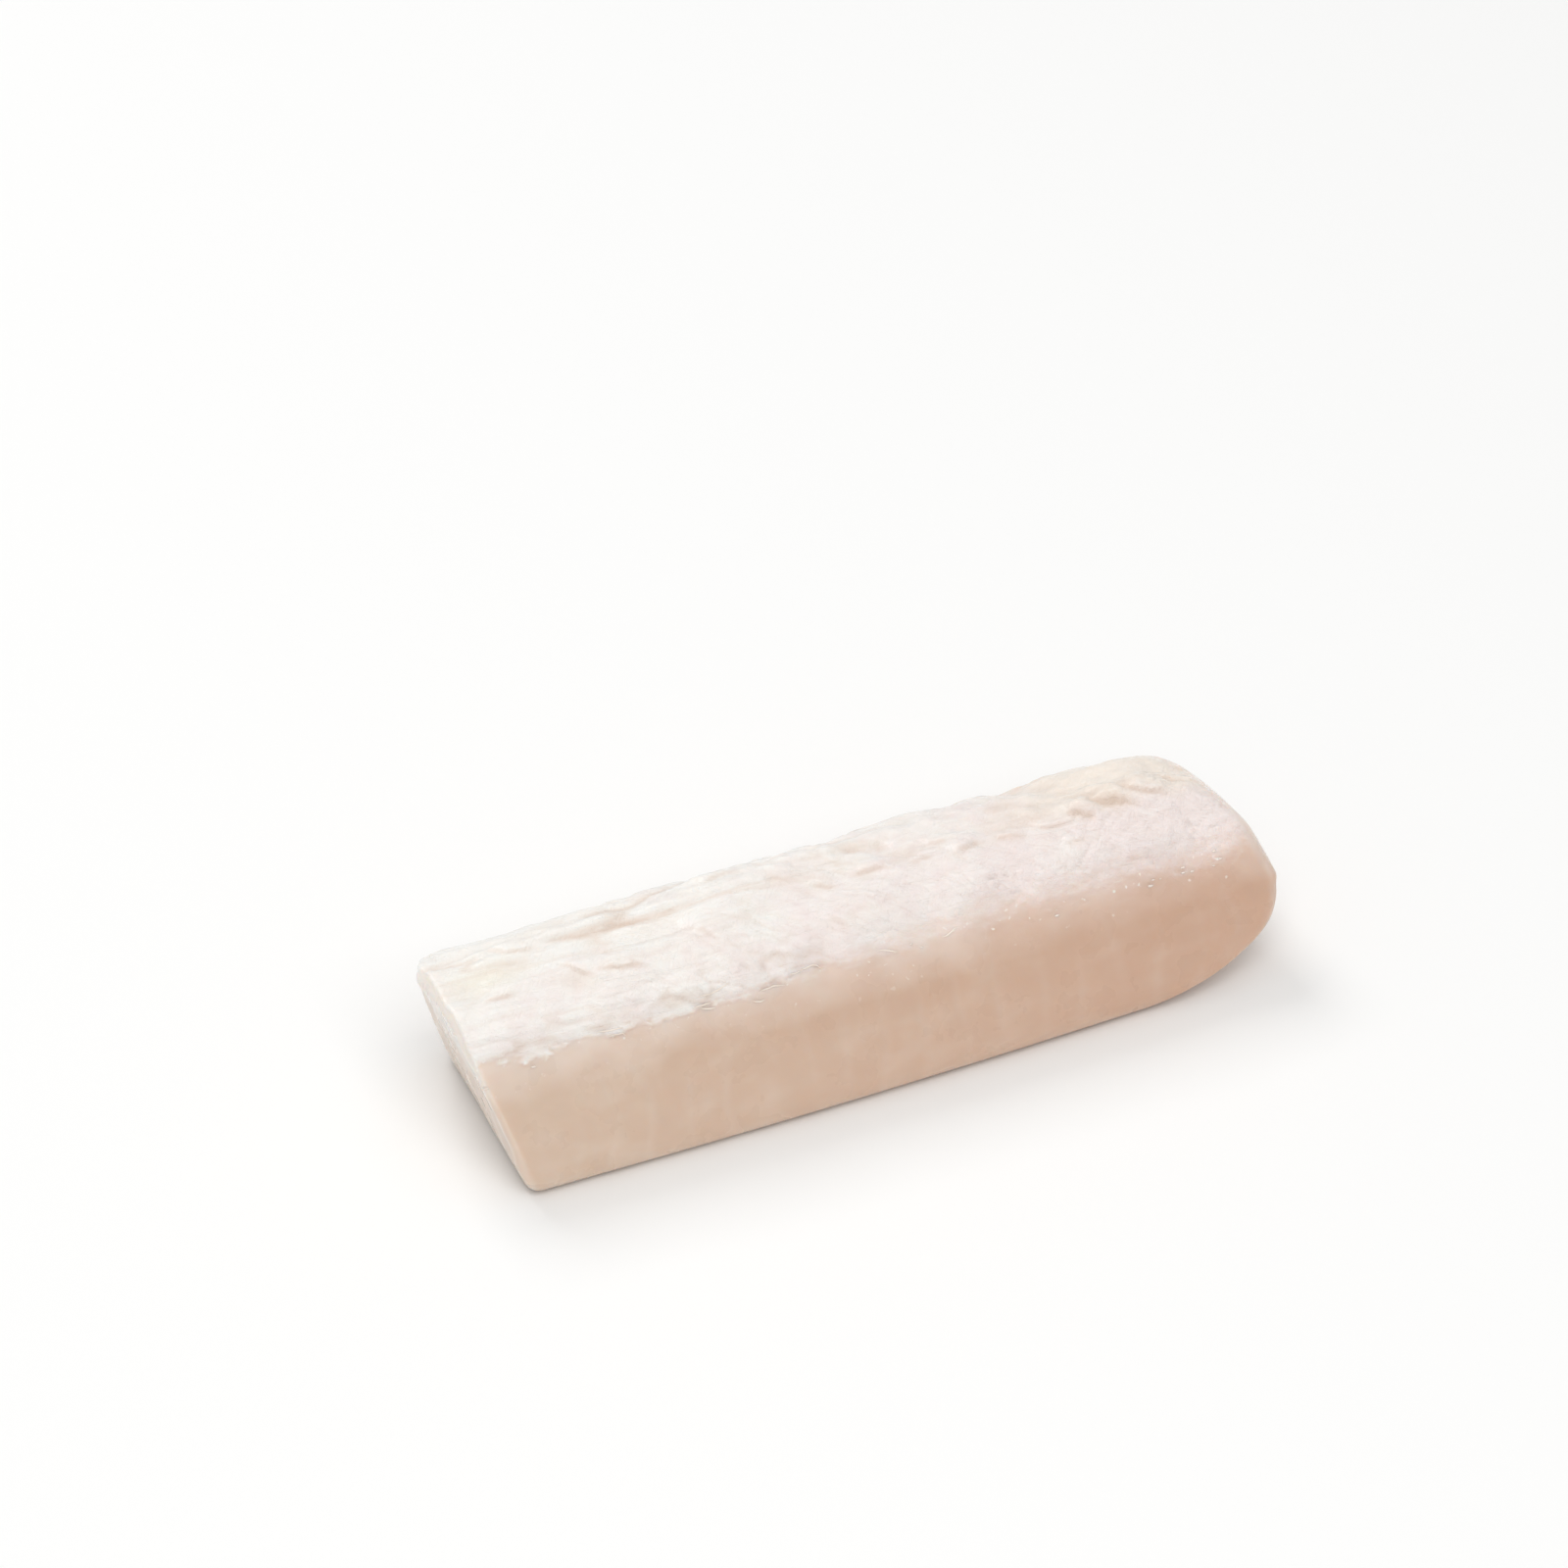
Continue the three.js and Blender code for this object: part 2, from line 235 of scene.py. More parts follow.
def rawHakeMaterial(setup):
    # the film scatters white and shows each wrinkle, the flesh glows softly, moisture adds a sheen
    material = bpy.data.materials.new("raw hake flesh")
    material.use_nodes = True
    tree = material.node_tree
    shader = tree.nodes["Principled BSDF"]
    place = addNode(tree, "ShaderNodeTexCoord", out="Object")
    placeMm = addNode(tree, vectorNode, {0: place, "Scale": 1 / mm}, operation="SCALE")
    x, y, z = (addNode(tree, axisNode, {0: placeMm}, out=axis) for axis in "XYZ")
    film, crease, flake, cut = (addNode(tree, "ShaderNodeAttribute", out="Fac", attribute_name=name)
                                for name in ("film", "crease", "flake", "cut"))
    noise, added = {}, {}
    for name, pattern in setup["patterns"].items():
        length, width = pattern["size"]
        cells = addNode(tree, vectorNode, {0: placeMm, 1: (1 / length, 1 / width, 1 / width)},
                        operation="MULTIPLY")
        noise[name] = addNode(tree, noiseNode, {"Vector": cells, "Scale": 1.0, "Detail": pattern["detail"]})
        added[name] = addNode(tree, rangeNode, {
            0: noise[name], (1, 2): pattern["noise"], (3, 4): pattern["adds"]})

    # film: whiter at one end, cloudy, cream along the back, stained in one place, darkened in its creases
    # and hollows by painted shade (in the round pit partly the bare flesh)
    cloud = addNode(tree, mathNode, {0: added["patch"], 1: added["speck"]}, operation="ADD")
    rosy = addNode(tree, rangeNode, {0: x, (1, 2): setup["pinkFrom"], (3, 4): setup["pinkShare"]})
    rosy = addNode(tree, mathNode, {0: y, 1: setup["pinkAcross"], 2: rosy}, operation="MULTIPLY_ADD")
    pink = addNode(tree, mathNode, {0: rosy, 1: cloud}, operation="ADD", use_clamp=True)
    skin = addNode(tree, mixNode, {
        0: pink, 6: linear(setup["filmWhite"]), 7: linear(setup["filmPink"])}, **colourMix)
    backward = addNode(tree, mathNode, {0: noise["patch"], 1: setup["creamStray"], 2: y},
                       operation="MULTIPLY_ADD")
    backward = addNode(tree, rangeNode, {0: backward, (1, 2): setup["creamBackFrom"]}, **eased)
    onward = addNode(tree, rangeNode, {0: x, (1, 2): setup["creamFrom"]}, **eased)
    creamy = addNode(tree, mathNode, {0: backward, 1: onward}, operation="MULTIPLY")
    stain = bellWindow(tree, placeMm, setup["stainPlace"], setup["stainReach"])
    stain = addNode(tree, mathNode, {0: stain, 1: noise["patch"]}, operation="MULTIPLY")
    for share, tone in ((creamy, "filmCream"), (stain, "filmStain"), (crease, "creaseShade")):
        skin = addNode(tree, mixNode, {0: share, 6: skin, 7: linear(setup[tone])}, **colourMix)

    # flesh: warmer towards the round end, darker and warmer lower down (partly its own tone, partly painted
    # shade), mottled, paler on the cuts and between its flakes
    warm = addNode(tree, rangeNode, {0: x, (1, 2): setup["warmFrom"]})
    warm = addNode(tree, mathNode, {0: warm, 1: added["mottle"]}, operation="ADD", use_clamp=True)
    low = addNode(tree, rangeNode, {0: z, (1, 2): setup["deepFrom"]})
    low = addNode(tree, mathNode, {0: low, 1: added["mottle"]}, operation="ADD", use_clamp=True)
    flesh, deep = (addNode(tree, mixNode, {
        0: warm, 6: linear(setup[part + "Pale"]), 7: linear(setup[part + "Warm"])}, **colourMix)
        for part in ("flesh", "deep"))
    flesh = addNode(tree, mixNode, {0: low, 6: flesh, 7: deep}, **colourMix)
    fresh = addNode(tree, rangeNode, {0: low, 1: 1.0, 2: 0.0, (3, 4): setup["cutShare"]})
    fresh = addNode(tree, mathNode, {0: fresh, 1: cut}, operation="MULTIPLY", use_clamp=True)
    # white flecks under the film's edge, partly white specks and partly painted glints
    nearFilm = addNode(tree, rangeNode, {0: z, (1, 2): setup["fleckFrom"]})
    fleckAndGlint = addNode(tree, mathNode, {0: added["fleckAndGlint"], 1: nearFilm}, operation="MULTIPLY")
    pale = addNode(tree, mathNode, {0: fleckAndGlint, 1: flake}, operation="MAXIMUM")
    for share, tone in ((fresh, "cutPale"), (pale, "flakeWhite")):
        flesh = addNode(tree, mixNode, {0: share, 6: flesh, 7: linear(setup[tone])}, **colourMix)
    colour = addNode(tree, mixNode, {0: film, 6: flesh, 7: skin}, **colourMix)

    # fine relief, too small for the mesh: crossing fibres and long wrinkles in the film, grain all over
    height = 0.0
    for fine in setup["fineReliefs"]:
        turned = addNode(tree, turnNode, {"Vector": placeMm, "Angle": math.radians(fine["turn"])}, **aboutUp)
        cells = addNode(tree, vectorNode, {
            0: turned, 1: (1 / fine["length"], 1 / fine["width"], 1 / fine["width"])}, operation="MULTIPLY")
        wave = addNode(tree, noiseNode, {"Vector": cells, "Scale": 1.0, "Detail": 2, "Distortion": 0.4})
        line = addNode(tree, rangeNode, {0: wave, (1, 2): setup["fineLine"], 3: 0.0, 4: -fine["depth"]})
        height = addNode(tree, mathNode, {0: line, 1: film, 2: height}, operation="MULTIPLY_ADD")
    grain = addNode(tree, noiseNode, {"Vector": placeMm, "Scale": 1 / setup["grainSize"], "Detail": 2})
    height = addNode(tree, mathNode, {0: grain, 1: setup["grainRelief"], 2: height},
                     operation="MULTIPLY_ADD")
    bump = addNode(tree, "ShaderNodeBump", {"Height": height, "Strength": 1.0, "Distance": mm})

    gloss = addNode(tree, mathNode, {0: film, 1: setup["filmRoughness"], 2: added["wet"]},
                    operation="MULTIPLY_ADD")
    gloss = addNode(tree, mathNode, {0: gloss, 1: setup["roughness"]}, operation="ADD")
    spread = addNode(tree, mixNode, {0: film, 4: setup["fleshRadius"], 5: setup["filmRadius"]}, **vectorMix)
    links = {"Base Color": colour, "Roughness": gloss, "Normal": bump, "Subsurface Radius": spread}
    for name, socket in links.items():
        tree.links.new(socket, shader.inputs[name])
    for name, value in setup["finish"].items():
        shader.inputs[name].default_value = value
    return material


# the portion: the CAD form refined, with the film's folds and lumps as real relief. All lengths in mm.
# A From pair says where a change begins and where it is complete. A Facing pair says the same in how far
# the surface faces up or to an end, 1 at most. middle and reach say where along and across a relief is
# strongest, turn how far it runs off the length.
hakePortion = {
    "mergeGap": 0.001,               # corners this close become one
    "quadAngles": (40, 60),          # degrees, how unlike in lie and shape two triangles of a quad may be
    "subdivisions": 2,
    "seed": 4.0,
    "seedStep": 7.3,                 # from one relief to the next
    "reliefFrom": (0.5, 5.0),        # above the floor, so that the underside stays flat
    "filmThickness": 0.35,
    "filmEdge": (23.3, 24.2, 23.2),  # height above the floor where it ends: slanted end, middle, round end
    "filmEdgeFrom": ((-18.0, 14.0), (25.0, 50.0)),   # along, from one of these to the next
    "filmTipRise": 1.5,              # how far the edge rises at the tip of the round end
    "filmTipFrom": (63.0, 71.0),     # along
    "filmSoftness": (0.55, 2.6),     # half the width of that edge, before and past the middle
    "filmSoftFrom": (-30.0, 10.0),   # along
    "filmTears": [                   # how far the edge strays, in waves of this length and width
        {"stray": 2.6, "length": 22.0, "width": 12.0},
        {"stray": 4.6, "length": 5.0, "width": 1.6},
        {"stray": 2.8, "length": 2.0, "width": 0.9},
    ],
    "crownFacing": (0.25, 0.5),      # up, where the film holds
    "uncutFacing": (0.65, 0.3),      # to an end, in the same way
    "cutFacing": (0.2, 0.55),        # to an end, where the knife cut
    "cutEnds": (1.0, 0.45),          # how pale the cut is on the slanted end and on the round one
    "cutEndsFrom": (-5.0, 5.0),      # along, from the one to the other
    "flakeAxis": (4.0, 3.0),         # across and up: the line that the nested cones of muscle share
    "flakeSpacing": 7.0,             # along the length
    "flakeSlope": 1.5,               # how far a cone leans back for each mm off its axis
    "flakeWander": 0.8,              # share of a spacing by which they stray
    "flakeWave": 16.0,               # length of the waves in which they do
    "flakeLine": 0.22,               # half the width of the line between two, as a share of a spacing
    "flakeGaps": (0.35, 0.6),        # the stretch of that wave over which a line comes and goes
    "flakeFrom": (23.0, 13.0),       # above the floor, as the flank is smoother near the film
    "flakeShare": (0.3, 1.0),        # how much of a line shows there
    "flakeDepth": (0.08, 0.03),      # on the flanks and on the cut ends
    "flakeTint": (0.09, 0.65),
    "creaseWidth": 1.25,
    "creaseRise": 0.45,              # of the lip behind a crease
    "creaseDip": 0.10,               # of the hollow under it
    # how strongly painted shade darkens the hollow under a crease
    "creaseShadeTint": 0.5,
    "creaseWander": 1.2,
    "creaseWave": 5.0,               # length of the waves in which a crease strays
    "creases": [                     # the larger ones, each placed one by one
        {"middle": (54.6, -0.2), "length": 7, "turn": -22, "strength": 1.4},
        {"middle": (48.7, -0.2), "length": 8, "turn": -24, "strength": 1.6},
        {"middle": (42.8, -1), "length": 5, "turn": -30, "strength": 1.3},
        {"middle": (37.3, -1), "length": 6.5, "turn": -15, "strength": 0.9},
        {"middle": (29.8, -1), "length": 5, "turn": -8, "strength": 0.8},
        {"middle": (22.3, -1), "length": 6, "turn": 0, "strength": 0.9},
        {"middle": (17.8, 2), "length": 4, "turn": -8, "strength": 0.7},
        {"middle": (13.8, -0.5), "length": 4, "turn": -9, "strength": 0.7},
        {"middle": (5.3, 0), "length": 7, "turn": -15, "strength": 1.0},
        {"middle": (-3.2, 0), "length": 4, "turn": -7, "strength": 0.8},
        {"middle": (1.3, 4), "length": 9, "turn": -32, "strength": 0.5},
        {"middle": (-9.7, 4), "length": 6, "turn": -20, "strength": 0.5},
        {"middle": (-18.2, 8), "length": 7, "turn": 12, "strength": 0.7},
        {"middle": (39.3, -6), "length": 4, "turn": 3, "strength": 0.5},
        {"middle": (48.3, -10.5), "length": 5, "turn": 8, "strength": 0.5},
        {"middle": (-4.7, -8), "length": 4, "turn": -54, "strength": 0.4},
        {"middle": (-16.7, -10.5), "length": 11, "turn": 4, "strength": 0.6},
        {"middle": (-10.7, -10.5), "length": 4, "turn": -22, "strength": 0.5},
        {"middle": (-26.2, -3), "length": 6, "turn": -55, "strength": 0.5},
        {"middle": (-30.7, -12), "length": 4, "turn": 30, "strength": 0.7},
        {"middle": (-35.7, -12), "length": 8, "turn": -4, "strength": 0.8},
        {"middle": (-39.7, 5), "length": 20, "turn": -4, "strength": 0.7},
        {"middle": (-41.7, -4.5), "length": 8, "turn": -17, "strength": 1.2},
        {"middle": (-41.2, -0.5), "length": 5, "turn": -32, "strength": 0.6},
        {"middle": (-48.7, -2), "length": 7, "turn": -44, "strength": 0.8},
        {"middle": (-49.7, -12), "length": 5, "turn": -9, "strength": 0.7},
        {"middle": (-56.7, 6), "length": 8, "turn": -17, "strength": 0.7},
        {"middle": (-59.2, -12), "length": 6, "turn": -6, "strength": 0.7},
        {"middle": (-62.7, -3.5), "length": 6, "turn": 2, "strength": 0.9},
        {"middle": (-64.7, -11.5), "length": 6, "turn": -7, "strength": 0.8},
    ],
    # a relief's tint is painted shade in its valleys, along its grooves or at the foot of its folds
    "reliefs": [
        {"name": "back fold", "kind": "fold", "length": 40, "width": 5.0, "height": 0.95,
         "turn": -3, "middle": (-42, 9), "reach": (42, 8), "tint": 0.65},
        {"name": "long crease", "kind": "groove", "length": 26, "width": 5.0, "height": 0.24,
         "turn": 4, "middle": (-40, -2), "reach": (48, 14), "tint": 0.2},
        {"name": "cross crease", "kind": "groove", "length": 11, "width": 3.2, "height": 0.22,
         "turn": -40, "middle": (-5, -4), "reach": (60, 12), "tint": 0.14},
        {"name": "bunched fold", "kind": "fold", "length": 10, "width": 3.4, "height": 0.45,
         "turn": -25, "middle": (-28, -11.5), "reach": (14, 4), "tint": 0.3},
        {"name": "edge fold", "kind": "fold", "length": 16, "width": 3.4, "height": 0.40,
         "turn": 0, "middle": (-56, -11), "reach": (20, 4), "tint": 0.25},
        {"name": "cushion", "kind": "lump", "length": 15, "width": 7.0, "height": 0.6,
         "turn": 0, "middle": (0, 0), "reach": (200, 60), "tint": 0.03},
        {"name": "back lump", "kind": "lump", "length": 8, "width": 4.2, "height": 1.35,
         "turn": -8, "middle": (22, 6), "reach": (45, 8), "tint": 0.42},
        {"name": "ridge bump", "kind": "lump", "length": 4.2, "width": 3.0, "height": 0.9,
         "turn": 0, "middle": (20, 13), "reach": (45, 4.5), "tint": 0.1},
        {"name": "back pebble", "kind": "lump", "length": 3.4, "width": 2.4, "height": 0.55,
         "turn": -10, "middle": (5, 8), "reach": (50, 6), "tint": 0.1},
        {"name": "pebble", "kind": "lump", "length": 2.8, "width": 2.2, "height": 0.44,
         "turn": 0, "middle": (48, -2), "reach": (32, 16), "tint": 0.06},
        {"name": "pucker", "kind": "lump", "length": 3.0, "width": 1.3, "height": 0.15,
         "turn": -6, "middle": (-20, 0), "reach": (120, 40), "tint": 0.05},
        {"name": "hair wrinkle", "kind": "groove", "length": 9, "width": 2.2, "height": 0.30,
         "turn": -48, "middle": (28, -7), "reach": (44, 9), "tint": 0.08},
        {"name": "slant wrinkle", "kind": "groove", "length": 8, "width": 2.4, "height": 0.28,
         "turn": 35, "middle": (35, -5), "reach": (40, 10), "tint": 0.07},
        {"name": "crumple", "kind": "groove", "length": 4.5, "width": 2.8, "height": 0.45,
         "turn": 15, "middle": (56, -4), "reach": (20, 14), "tint": 0.12},
    ],
    "dents": [                       # single features, a negative depth is a raised roll
        # a dent's tint is painted shade in its valley or hollow; in the round pit it is partly the bare
        # flesh, where the film is gone
        {"name": "round pit", "middle": (-49.7, -4.6, 28), "reach": (2.6, 1.6, 9), "turn": -10,
         "depth": 0.2, "tint": 0.3},
        {"name": "end knob", "middle": (55.5, 2.9, 28), "reach": (4.2, 2.8, 9), "turn": -20,
         "depth": -1.15, "tint": 0.0},
        {"name": "end roll", "middle": (49, 2.4, 28), "reach": (4.6, 2.1, 9), "turn": -22,
         "depth": -1.3, "tint": 0.0},
        {"name": "inner roll", "middle": (43, 1.5, 28), "reach": (3.4, 1.9, 9), "turn": -22,
         "depth": -1.0, "tint": 0.0},
        {"name": "knob valley", "middle": (52, 2.2, 28), "reach": (1.2, 1.9, 9), "turn": -20,
         "depth": 0.4, "tint": 0.4},
        {"name": "roll valley", "middle": (45.9, 1.5, 28), "reach": (1.2, 1.7, 9), "turn": -20,
         "depth": 0.35, "tint": 0.35},
        {"name": "end hollow", "middle": (60, 1.9, 28), "reach": (1.7, 1.3, 9), "turn": -20,
         "depth": 0.3, "tint": 0.45},
        {"name": "end lip", "middle": (-71.2, 8.5, 26.5), "reach": (3.0, 4.0, 2.0), "turn": 0,
         "depth": -0.8, "tint": 0.0},
        {"name": "end fray", "middle": (71.3, -15.5, 16.8), "reach": (2.0, 1.6, 1.3), "turn": 0,
         "depth": -0.5, "tint": 0.0},
    ],
}


def quadCopy(node, name, setup):
    # a CAD node is loose triangles, so its copy is merged and paired into quads
    mesh = bpy.data.meshes.new(name)
    shape = bmesh.new()
    shape.from_mesh(node.data)
    bmesh.ops.remove_doubles(shape, verts=shape.verts, dist=setup["mergeGap"] * mm)
    lie, outline = (math.radians(angle) for angle in setup["quadAngles"])
    bmesh.ops.join_triangles(shape, faces=shape.faces, angle_face_threshold=lie,
                             angle_shape_threshold=outline)
    shape.to_mesh(mesh)
    shape.free()
    piece = bpy.data.objects.new(name, mesh)
    bpy.context.collection.objects.link(piece)
    return piece


def newTree(name, sizes):
    # an empty Geometry Nodes tree with one named input for each size
    tree = bpy.data.node_groups.new(name, "GeometryNodeTree")
    tree.interface.new_socket("Geometry", in_out="INPUT", socket_type="NodeSocketGeometry")
    tree.interface.new_socket("Geometry", in_out="OUTPUT", socket_type="NodeSocketGeometry")
    values = {}
    for label, value in sizes.items():
        socket = tree.interface.new_socket(label, in_out="INPUT", socket_type="NodeSocketFloat")
        values[socket.identifier] = float(value)
    return tree, values


def endTree(tree, shape, material):
    # what every tree ends with
    shape = addNode(tree, "GeometryNodeSetShadeSmooth", {"Geometry": shape})
    shape = addNode(tree, "GeometryNodeRealizeInstances", {"Geometry": shape})
    shape = addNode(tree, "GeometryNodeSetMaterial", {"Geometry": shape, "Material": material})
    tree.links.new(shape, tree.nodes.new("NodeGroupOutput").inputs["Geometry"])


def applyTree(piece, tree, values):
    # runs the tree once and keeps the result as a plain mesh
    modifier = piece.modifiers.new(tree.name, "NODES")
    modifier.node_group = tree
    for identifier, value in values.items():
        modifier[identifier] = value
    evaluated = piece.evaluated_get(bpy.context.evaluated_depsgraph_get())
    mesh = bpy.data.meshes.new_from_object(evaluated)
    piece.modifiers.remove(modifier)
    piece.data = mesh


# profile of a crease: where its lip and its hollow are nothing and then whole, on the near side and on the
# far one, in crease widths, and the same for its tips, in shares of its length from the middle
creaseShape = {
    "lip": ((-0.3, 0.6), (4.0, 0.6)),
    "hollow": ((-0.9, 0.1), (0.6, 0.0)),
    "tips": (0.65, 0.15),
}


def creasePattern(tree, placeMm, size, crease, stray):
    # a short fold: gives its rounded lip, on the far side, and the hollow along the near side, which also
    # sets the painted shade there
    away = addNode(tree, vectorNode, {0: placeMm, 1: (*crease["middle"], 0)}, operation="SUBTRACT")
    turned = addNode(tree, turnNode, {"Vector": away, "Angle": math.radians(-crease["turn"])}, **aboutUp)
    along = addNode(tree, axisNode, {0: turned}, out="X")
    along = addNode(tree, mathNode, {0: along}, operation="ABSOLUTE")
    tips = addNode(tree, rangeNode, {
        0: along, (1, 2): [share * crease["length"] for share in creaseShape["tips"]],
        3: 0.0, 4: crease["strength"]}, **eased)
    across = addNode(tree, axisNode, {0: turned}, out="Y")
    across = addNode(tree, mathNode, {0: across, 1: stray}, operation="ADD")
    across = addNode(tree, mathNode, {0: across, 1: size["Crease width"]}, operation="DIVIDE")
    heights = []
    for near, far in (creaseShape["lip"], creaseShape["hollow"]):
        height = addNode(tree, rangeNode, {0: across, (1, 2): near, 4: tips}, **eased)
        heights.append(addNode(tree, rangeNode, {0: across, (1, 2): far, 4: height}, **eased))
    return heights


# how plain noise becomes relief. A pair is a stretch of the noise.
reliefShape = {
    "lumpShade": (0.48, 0.34),     # painted shade, from the middle of the noise down into a valley
    "foldSteps": 4.0,            # sheets, from the lowest noise to the highest
    "foldCrest": 0.6,            # share of a sheet where it stands highest
    "foldShade": (0.12, 0.8),      # painted shade, in shares of a sheet, up to the one and from the other on
    "grooveSlope": 3.2,
    "groovePower": 8.0,          # more makes it narrower
    "gapScale": 0.45,            # of the waves in which a groove comes and goes
    "gapNoise": (0.40, 0.56),
}


def reliefPattern(tree, placeMm, size, relief, seed):
    # gives the height of a relief, about -1 to 1, and where its painted shade lies
    name = relief["name"]
    turned = addNode(tree, turnNode, {
        "Vector": placeMm, "Angle": math.radians(-relief["turn"])}, **aboutUp)
    cell = addNode(tree, joinNode, {
        0: size[name + " length"], 1: size[name + " width"], 2: size[name + " width"]})
    cells = addNode(tree, vectorNode, {0: turned, 1: cell}, operation="DIVIDE")
    wave = addNode(tree, noiseNode, {
        "Vector": cells, "W": seed, "Scale": 1.0, "Detail": 1.5, "Roughness": 0.45, "Distortion": 0.25},
        **seeded)
    if relief["kind"] == "lump":       # painted shade in the valleys
        rise = addNode(tree, mathNode, {0: wave, 1: 2.0, 2: -1.0}, operation="MULTIPLY_ADD")
        return rise, addNode(tree, rangeNode, {0: wave, (1, 2): reliefShape["lumpShade"]})
    if relief["kind"] == "fold":       # one sheet slipped over the next, painted shade at the foot of its rounded lip
        crest = reliefShape["foldCrest"]
        start, end = reliefShape["foldShade"]
        steps = addNode(tree, mathNode, {0: wave, 1: reliefShape["foldSteps"]}, operation="MULTIPLY")
        share = addNode(tree, mathNode, {0: steps}, operation="FRACT")
        climb = addNode(tree, rangeNode, {0: share, 1: 0.0, 2: crest}, **eased)
        rise = addNode(tree, rangeNode, {0: share, 1: 1.0, 2: crest, 4: climb}, **eased)
        before = addNode(tree, rangeNode, {0: share, 1: start, 2: 0.0})
        after = addNode(tree, rangeNode, {0: share, 1: end, 2: 1.0})
        return rise, addNode(tree, mathNode, {0: before, 1: after}, operation="ADD")
    # a groove: the narrow line where the noise crosses its middle, coming and going along its length, which
    # also carries the painted shade
    slope = reliefShape["grooveSlope"]
    signed = addNode(tree, mathNode, {0: wave, 1: slope, 2: -slope / 2}, operation="MULTIPLY_ADD")
    away = addNode(tree, mathNode, {0: signed}, operation="ABSOLUTE")
    near = addNode(tree, mathNode, {0: 1.0, 1: away}, operation="SUBTRACT", use_clamp=True)
    line = addNode(tree, mathNode, {0: near, 1: reliefShape["groovePower"]}, operation="POWER")
    gaps = addNode(tree, noiseNode, {
        "Vector": cells, "W": seed, "Scale": reliefShape["gapScale"], "Detail": 0}, out="Color", **seeded)
    gaps = addNode(tree, axisNode, {0: gaps}, out="Y")
    shown = addNode(tree, rangeNode, {0: gaps, (1, 2): reliefShape["gapNoise"]})
    line = addNode(tree, mathNode, {0: line, 1: shown}, operation="MULTIPLY")
    return addNode(tree, mathNode, {0: line, 1: -1.0}, operation="MULTIPLY"), line


